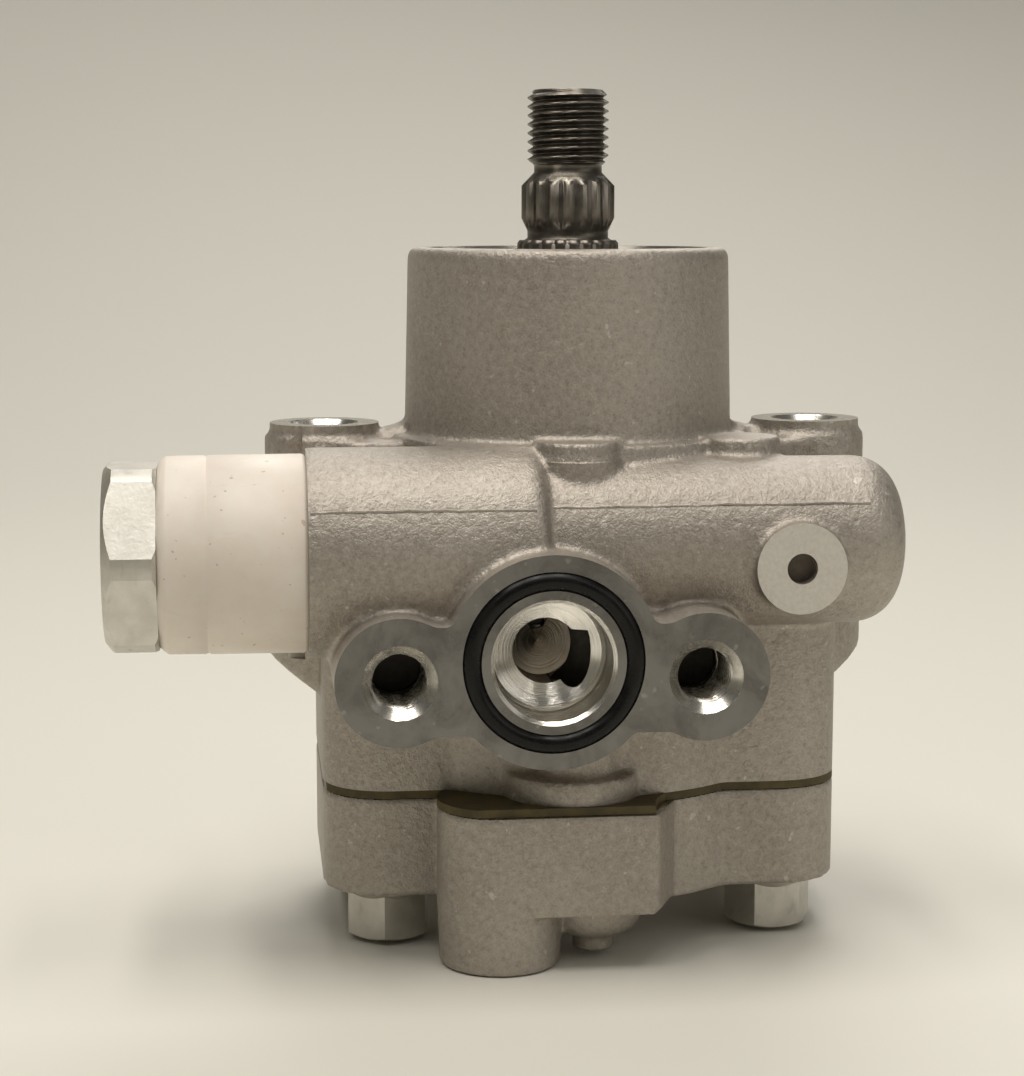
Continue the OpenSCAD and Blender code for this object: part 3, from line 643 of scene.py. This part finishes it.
def tap_radius(h, angle):
    """Radius of a tapped hole: a thread between a countersunk mouth and a plain end."""
    phase = ((h - TAP_PITCH * angle / (2 * math.pi)) / TAP_PITCH) % 1.0
    thread = TAP_DEEP * max(0.0, 1.0 - abs(2.0 * phase - 1.0) * 1.15)
    if h < -TAP_END:
        thread = 0.0
    return max(TAP_R + thread, min(TAP_MOUTH_R, TAP_MOUTH_R - 0.1 + h))


def tap(centre, axis, depth):
    boolean(body, helix("cut", tap_radius, -depth, 3.0, TAP_PITCH / 7, 44, centre, axis))


for x, z in FLANGE_HOLES:
    tap((x, FLANGE_Y, z), "-y", FLANGE_TAP_DEPTH)
for x in EAR_SIDES:
    tap((x, 0, 0), "z", EAR_TAP_DEPTH)
boolean(body, lathe("cut", rod(BOSS_HOLE_R, -6, 4), BOSS_CENTRE, "-y", 48))
PORT_R = 9.5
PORT_END_R = 5.4
PORT_END_DEPTH = 18.8
SEAT_DEPTH = 11.4
INLET = [(0, -PORT_END_DEPTH - 3), (PORT_END_R, -PORT_END_DEPTH), (PORT_END_R, -SEAT_DEPTH),
         (8.9, 2.1 - SEAT_DEPTH), (PORT_R, 2.9 - SEAT_DEPTH), (PORT_R, -0.6),
         (PORT_R + 0.8, 0.2), (PORT_R + 0.8, 4), (0, 4)]
boolean(body, lathe("cut", INLET, INLET_CENTRE, "-y", 96))
DRILLING = (INLET_X - 0.4, INLET_Z + 3.3)
DRILLING_R = 1.35
drilling_place = (DRILLING[0], FLANGE_Y, DRILLING[1])
boolean(body, lathe("cut", rod(DRILLING_R, -23, -17), drilling_place, "-y", 32))
PASSAGE = (-2.7, -33.0)
PASSAGE_R = 4.5
PASSAGE_TOP = INLET_Z + 3.4
BORE_LOW = -62.0
boolean(body, lathe("cut", rod(PASSAGE_R, BORE_LOW, PASSAGE_TOP), (*PASSAGE, 0), "z", 64))
BYPASS_Y = -31.0
BYPASS_R = 1.7
boolean(body, lathe("cut", rod(BYPASS_R, INLET_Z + 1.1, -20), (INLET_X, BYPASS_Y, 0), "z", 48))
GROOVE_DEPTH = 2.25
GROOVE_OUTER_R = 14.5
GROOVE_INNER_R = 11.5
groove = lathe("cut", rod(GROOVE_OUTER_R, -GROOVE_DEPTH, 3), INLET_CENTRE, "-y", 128)
boolean(groove, lathe("core", rod(GROOVE_INNER_R, -4, 4), INLET_CENTRE, "-y", 128))
boolean(body, groove)
CHAMBER_R = 27.1
CHAMBER_TOP = -32.0
BEARING_R = 23.5
SNAP_R = 24.9
SHAFT_BORE = [(0, BORE_LOW), (CHAMBER_R, BORE_LOW), (CHAMBER_R, CHAMBER_TOP), (10, CHAMBER_TOP), (10, 4),
              (15, 4), (15, 12), (BEARING_R, 12), (BEARING_R, 26), (SNAP_R, 26), (SNAP_R, 27.75),
              (BEARING_R, 27.75), (BEARING_R, 29.4), (24.4, 30.3), (24.4, 34), (0, 34)]
boolean(body, lathe("cut", SHAFT_BORE, steps=128))

# Flash line of the casting die, and two marks on the nose
PARTING_Z = -10.9


def barrel_front(x):
    """How far forward the barrel's skin lies at the parting height, short of its domed end."""
    if x < SHOULDER_X - 1.5:
        return BARREL_Y - math.sqrt(BARREL_R ** 2 - (PARTING_Z - BARREL_Z) ** 2)
    return BARREL_Y - math.sqrt(SLIM_R ** 2 - (PARTING_Z - SLIM_Z) ** 2)


def flash_ridge(start, stop, seed):
    """A thin, slightly wavy ridge where the halves of the casting die met."""
    draw = random.Random(seed)
    steps = int((stop - start) / 0.5)
    verts, faces = [], []
    drift = 0.0
    for k in range(steps + 1):
        x = start + (stop - start) * k / steps
        drift = 0.85 * drift + draw.uniform(-0.07, 0.07)
        y, z = barrel_front(x), PARTING_Z + drift
        tall = draw.uniform(0.03, 0.13)
        verts += [(x, y + 0.9, z + 0.7), (x, y - tall, z + 0.22),
                  (x, y - tall, z - 0.06), (x, y + 0.7, z - 0.7)]
    for k in range(steps):
        for i in range(4):
            j = (i + 1) % 4
            faces.append((4 * k + i, 4 * k + j, 4 * k + 4 + j, 4 * k + 4 + i))
    faces += [(3, 2, 1, 0), tuple(4 * steps + i for i in range(4))]
    return new_object("ridge", mesh_from("ridge", verts, faces))


boolean(body, flash_ridge(BARREL_LEFT + 0.3, SHOULDER_X - 2.2, 3), "UNION")
boolean(body, flash_ridge(SHOULDER_X + 0.6, BARREL_RIGHT - DOME_LEN - 0.3, 8), "UNION")
NUB = [(0, -1.5), (0.95, -1.5), (0.9, 0.1), (0.55, 0.55), (0, 0.7)]
boolean(body, lathe("nub", NUB, (NOSE_MARK_X, -25.4, 0.9), "-y", 24), "UNION")
PIT = [(0, -0.5), (0.35, 0.1), (0.5, 2), (0, 2)]
boolean(body, lathe("pit", PIT, (NOSE_MARK_X + 0.7, -25.3, 12.4), "-y", 20))
shade(body)


# Rules that tell the body's surfaces apart by a face's centre, in millimetres, and its normal
NEAR = 0.02


def in_flange_plane(c, n):
    return c.y < FLANGE_Y + NEAR and n.y < -0.9


def in_front_bore(c, n):
    if c.y > FLANGE_Y + 22:
        return False
    return off_axis(c, INLET_X, INLET_Z) < 14.7


# Deep ends of the tapped holes, the passage, the drilling and the ear holes, which get painted shade.
def in_painted_hole_shade(c, n):
    for x, z in FLANGE_HOLES:
        if off_axis(c, x, z) < HOLE_FILL_R and FLANGE_Y + 14.9 < c.y < FLANGE_Y + 17:
            return True
    if math.hypot(c.x - PASSAGE[0], c.y - PASSAGE[1]) < PASSAGE_R + 0.1 and c.z < PASSAGE_TOP + 0.1:
        return True
    if off_axis(c, *DRILLING) < DRILLING_R + 0.05 and FLANGE_Y + 19.5 < c.y < FLANGE_Y + 24:
        return True
    return from_ear(c) < HOLE_FILL_R and -20 < c.z < -10


def in_drilled_end(c, n):
    if off_axis(c, INLET_X, INLET_Z) > PORT_END_R + 0.1:
        return False
    return FLANGE_Y + SEAT_DEPTH + 0.05 < c.y < FLANGE_Y + 24


def in_tapped_hole(c, n):
    for x, z in FLANGE_HOLES:
        if off_axis(c, x, z) < HOLE_FILL_R and FLANGE_Y + NEAR < c.y < FLANGE_Y + 17:
            return True
    return from_ear(c) < HOLE_FILL_R and -20 < c.z < -NEAR


def on_broken_edge(c, n):
    return FLANGE_Y + NEAR < c.y < FLANGE_Y + 0.3 and n.y < -0.3


def on_ear(c, n):
    return abs(c.z) < NEAR and n.z > 0.9


def in_ear_hole(c, n):
    return from_ear(c) < HOLE_FILL_R and -27 < c.z < 0.1


def in_shaft_bore(c, n):
    away = math.hypot(c.x, c.y)
    return away < SNAP_R + 0.1 or (away < CHAMBER_R + 0.1 and c.z < CHAMBER_TOP + 0.5)


def on_boss_face(c, n):
    return abs(c.y - BOSS_FACE) < NEAR and n.y < -0.9 and off_axis(c, *BOSS) < BOSS_R + 0.1


def other_machined(c, n):
    return abs(c.z - BODY_BOTTOM) < NEAR or abs(c.x - BARREL_LEFT) < NEAR


# The near-black hole ends, the darker drilled end and the dark flange face are painted shade and painted
# reflection.
BODY_RULES = [
    (BOSS_PALE, on_boss_face), (MACHINED_DARK_REFLECTION, in_flange_plane), (HOLE_SHADE, in_painted_hole_shade),
    (TAPPED, in_tapped_hole), (DRILLED_AND_SHADED, in_drilled_end), (BORED, in_front_bore),
    (BORED, on_broken_edge), (MILLED, on_ear), (MILLED, in_ear_hole), (MILLED, in_shaft_bore),
    (MILLED, other_machined),
]
paint(body, BODY_RULES, flat=(in_flange_plane, on_boss_face, on_ear, other_machined))
crisp_edges(body, (BORED, TAPPED, DRILLED_AND_SHADED, MACHINED_DARK_REFLECTION, MILLED, BOSS_PALE))
finish_piece(body, "housing", "cast_body", "pump_body")


# Rear cover, made the same way

COVER_BOTTOM = -77.0
COVER_VOXEL = 0.55
DOME = (0.3, -31.0)
DOME_R = 8.4
DOME_H = 5.8
cover = copy_of("rear_cover", "rear_cover_casting")
BLOCK_SIDE = [(7.5, -42.9), (8.9, -42.95), (9.6, -42.4), (14.5, -31.2), (7.5, -31.2)]
boolean(cover, prism("side", BLOCK_SIDE, COVER_BOTTOM + 0.02, COVER_TOP - 0.02), "UNION")
cast(cover, COVER_VOXEL, 5, 90000)
dome = [(0, 2), (DOME_R, 2)]
dome += [(DOME_R * math.cos(math.radians(a)) ** 0.4, -DOME_H * math.sin(math.radians(a)))
         for a in range(0, 81, 10)]
dome += [(3.7, -DOME_H), (3.4, -6.1), (3.4, -8.2), (3.0, -8.6), (0, -8.6)]
boolean(cover, lathe("dome", [(r, h + COVER_BOTTOM) for r, h in dome], (*DOME, 0), "z", 80), "UNION")
shade(cover)
paint(cover, [(MILLED, lambda c, n: abs(c.z - COVER_TOP) < 0.3 and n.z > 0.9)])
finish_piece(cover, "housing", "cast_cover", "rear_cover")


# Gasket, carried on round the rear of the joint

REAR_R = 35.4
REAR_Y = 29.3
gasket = copy_of("cover_gasket", "joint_gasket")
reach = math.degrees(math.acos(REAR_Y / REAR_R))
rear = [(REAR_R * math.sin(math.radians(a)), REAR_R * math.cos(math.radians(a)))
        for a in (reach * (1 - k / 24) for k in range(49))]
boolean(gasket, prism("rear", rear, COVER_TOP, BODY_BOTTOM), "UNION")
gasket.data.materials.clear()
gasket.data.materials.append(GASKET)
shade(gasket)
finish_piece(gasket, "housing", "gasket", "cover_gasket")


# Cover bolts with a flange and a chamfered hexagon

BOLT_AF = 13.0
BOLT_HEAD = 9.0
BOLT_R = 5.0
BOLT_FLANGE = [(0, 0), (7.7, 0), (7.8, -0.15), (7.8, -0.75), (7.55, -1.05), (6.1, -2.1), (0, -2.1)]
BOLTS = [((-33, -17), 22), ((33, -17), 2), ((-33, 17), 47), ((33, 17), 11)]
bolt_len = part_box("cover_bolts")[1].z / MM - COVER_BOTTOM


def hexagon(h, angle):
    """Radius of the bolt's hexagon, rounded off towards its end."""
    part = angle % (math.pi / 3) - math.pi / 6
    side = BOLT_AF / 2 / math.cos(part)
    return min(side, BOLT_AF / 2 * 0.97 + 1.9 * (h + BOLT_HEAD))


bolt_pieces = []
for (x, y), turn in BOLTS:
    head = helix("head", hexagon, -BOLT_HEAD, -1.0, 0.16, 144)
    head.data.transform(Matrix.Rotation(math.radians(turn), 4, "Z"))
    boolean(head, lathe("flange", BOLT_FLANGE, steps=96), "UNION")
    shank = [(0, -1.5), (BOLT_R, -1.5), (BOLT_R, bolt_len - 0.6), (0, bolt_len)]
    boolean(head, lathe("shank", shank, steps=48), "UNION")
    head.data.transform(Matrix.Translation(Vector((x, y, COVER_BOTTOM)) * MM))
    bolt_pieces.append(head)
bolts = merged("flange_bolts", bolt_pieces)
bolts.data.materials.clear()
bolts.data.materials.append(ZINC)
shade(bolts, 20)
finish_piece(bolts, "housing", "zinc_bolts", "cover_bolts")


# Shaft with a real helical thread

THREAD_TOP = 56.8
THREAD_BOTTOM = 44.0
PITCH = 1.5
MAJOR = 7.0
DEPTH = 0.92
COLLAR_TEETH = 22
COLLAR_R = 8.75
COLLAR_TOP = 31.2
COLLAR_LOW = 29.2


def thread_radius(z, angle):
    """Radius of the shaft's thread, chamfered at the top and run out at the bottom."""
    phase = ((z - PITCH * angle / (2 * math.pi)) / PITCH) % 1.0
    ridge = 1.0 - abs(2.0 * phase - 1.0)
    cut = DEPTH * min(1.0, max(0.0, (0.86 - ridge) / 0.72))
    top = MAJOR - max(0.0, z - (THREAD_TOP - 1.1))
    low = MAJOR - 1.15 * max(0.0, 1.0 - (z - THREAD_BOTTOM) / 1.0)
    return max(5.4, min(MAJOR - cut, top, low))


def collar_radius(h, angle):
    """Radius of the toothed collar, rounded off at its top."""
    tooth = (angle * COLLAR_TEETH / (2 * math.pi)) % 1.0
    low = 0.45 * max(0.0, 1.0 - 3.0 * min(tooth, 1.0 - tooth))
    return COLLAR_R - low - 0.8 * max(0.0, h - (COLLAR_TOP - 0.5))


shaft = copy_of("drive_shaft", "shaft_blank")
boolean(shaft, block("cut", (-12, -12, THREAD_BOTTOM + 0.05), (12, 12, 70)))
thread = helix("thread", thread_radius, THREAD_BOTTOM, THREAD_TOP, 0.1, 96)
collar = helix("collar", collar_radius, COLLAR_LOW, COLLAR_TOP, 0.25, 176)
shaft = merged("threaded_shaft", [shaft, thread, collar])
shaft.data.materials.append(SHAFT)
shade(shaft, 28)
finish_piece(shaft, "shaft", "shaft_steel", "drive_shaft")


# White sleeve with its faint seam

SLEEVE_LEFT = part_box("spacer_sleeve")[0].x / MM
SLEEVE_R = 16.25
SLEEVE_BORE_R = 7.0
SEAM = 7.8
SEAM_R = SLEEVE_R - 0.24
sleeve_len = BARREL_LEFT - SLEEVE_LEFT
profile = [(SLEEVE_BORE_R, 0), (SLEEVE_R - 1.4, 0), (SLEEVE_R - 1.15, 0.12), (SLEEVE_R - 0.3, 1.1),
           (SLEEVE_R - 0.15, 1.6), (SLEEVE_R - 0.1, SEAM - 0.35), (SEAM_R, SEAM - 0.1), (SEAM_R, SEAM + 0.1),
           (SLEEVE_R - 0.06, SEAM + 0.35), (SLEEVE_R, sleeve_len - 0.7), (SLEEVE_R - 0.15, sleeve_len - 0.3),
           (SLEEVE_R - 0.5, sleeve_len), (SLEEVE_BORE_R, sleeve_len), (SLEEVE_BORE_R, 0)]
sleeve = lathe("white_sleeve", profile, (SLEEVE_LEFT, BARREL_Y, BARREL_Z), "x", 160)
sleeve.data.materials.append(PLASTIC)
shade(sleeve, 40)
finish_piece(sleeve, "housing", "white_plastic", "spacer_sleeve")


# Valve spring, a coil with a closed turn at each end

WIRE_R = 0.8
SPRING_TURNS = 10
spring_low, spring_high = (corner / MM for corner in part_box("spool_spring"))
spring_axis = Vector((spring_low.x, BARREL_Y, BARREL_Z))
coil_r = (spring_high.y - spring_low.y) / 2 - WIRE_R
spring = coil("valve_spring", coil_r, WIRE_R, spring_high.x - spring_low.x, SPRING_TURNS, spring_axis)
spring.data.materials.append(SPRING)
shade(spring, 40)
finish_piece(spring, "housing", "spring_steel", "spool_spring")
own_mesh(spring)


# Stage, light and camera

def backdrop():
    """A pale floor that runs up into a wall all round the object, further off in front than behind."""
    middle_reach, nearer = 2350.0, 850.0
    bend, top = 900.0, 1200.0
    turns, arc = 96, 16
    verts, faces = [(0.0, 0.0, FOOT_BOTTOM)], []
    for i in range(turns):
        a = 2 * math.pi * i / turns
        reach = middle_reach - nearer * math.sin(a)
        line = [(reach - bend + bend * math.sin(math.pi / 2 * k / arc),
                 FOOT_BOTTOM + bend * (1 - math.cos(math.pi / 2 * k / arc))) for k in range(arc + 1)]
        verts += [(r * math.cos(a), r * math.sin(a), z) for r, z in line + [(reach, top)]]
    rows = arc + 2
    for i in range(turns):
        here, there = 1 + i * rows, 1 + (i + 1) % turns * rows
        faces.append((0, here, there))
        faces += [(here + k, here + k + 1, there + k + 1, there + k) for k in range(rows - 1)]
    return new_object("floor", mesh_from("floor", verts, faces))


def floor_material():
    m = Nodes("floor_paint")
    m.set(Base_Color=(0.715, 0.70, 0.635, 1.0), Roughness=0.55)
    return m.done()


floor = backdrop()
shade(floor, 40)
floor.data.materials.append(floor_material())


def area_light(name, place, target, size, power, colour):
    """A soft rectangular lamp; places and sizes in metres, power in watts."""
    data = bpy.data.lights.new(name, "AREA")
    data.shape = "RECTANGLE"
    data.size, data.size_y = size
    data.energy = power
    data.color = colour
    lamp = bpy.data.objects.new(name, data)
    bpy.context.scene.collection.objects.link(lamp)
    lamp.location = Vector(place)
    lamp.rotation_euler = (Vector(target) - Vector(place)).to_track_quat("-Z", "Y").to_euler()


OVERHEAD_X = (-0.5, -0.15, 0.2)
FRONT_X = (-0.42, -0.02, 0.36)
PORT = (-0.01, -0.04, -0.035)
for x in OVERHEAD_X:
    area_light("overhead", (x, -0.2, 1.05), (x, -0.1999, 0), (0.14, 0.8), 3.9, (1.0, 0.95, 0.88))
for x in FRONT_X:
    area_light("front", (x, -0.5, 0.62), PORT, (0.035, 0.4), 0.24, (1.0, 0.96, 0.9))
area_light("fill", (0.9, -0.6, 0.45), (0, 0, -0.02), (0.7, 0.7), 1.2, (1.0, 0.96, 0.91))
area_light("rear", (0.2, 0.9, 0.8), (0, 0, 0), (0.8, 0.4), 5.0, (1.0, 0.97, 0.93))

world = bpy.data.worlds.new("studio")
bpy.context.scene.world = world
world.use_nodes = True
world_tree = world.node_tree
world_tree.nodes.clear()
world_out = world_tree.nodes.new("ShaderNodeOutputWorld")
glow = world_tree.nodes.new("ShaderNodeBackground")
glow.inputs["Color"].default_value = (0.60, 0.585, 0.54, 1.0)
glow.inputs["Strength"].default_value = 0.2
world_tree.links.new(glow.outputs[0], world_out.inputs[0])

LENS = 78.6
PITCH_DOWN = 7.8
YAW = 6.5
CAMERA_PLACE = (-56.13, -407.27, 35.3)
camera_data = bpy.data.cameras.new("camera")
camera_data.sensor_fit = "VERTICAL"
camera_data.sensor_height = 36.0
camera_data.lens = LENS
camera_data.clip_end = 50.0
camera = bpy.data.objects.new("camera", camera_data)
bpy.context.scene.collection.objects.link(camera)
camera.location = Vector(CAMERA_PLACE) * MM
camera.rotation_euler = (math.radians(90 - PITCH_DOWN), 0.0, math.radians(-YAW))
bpy.context.scene.camera = camera

bpy.context.scene.view_settings.view_transform = "Standard"
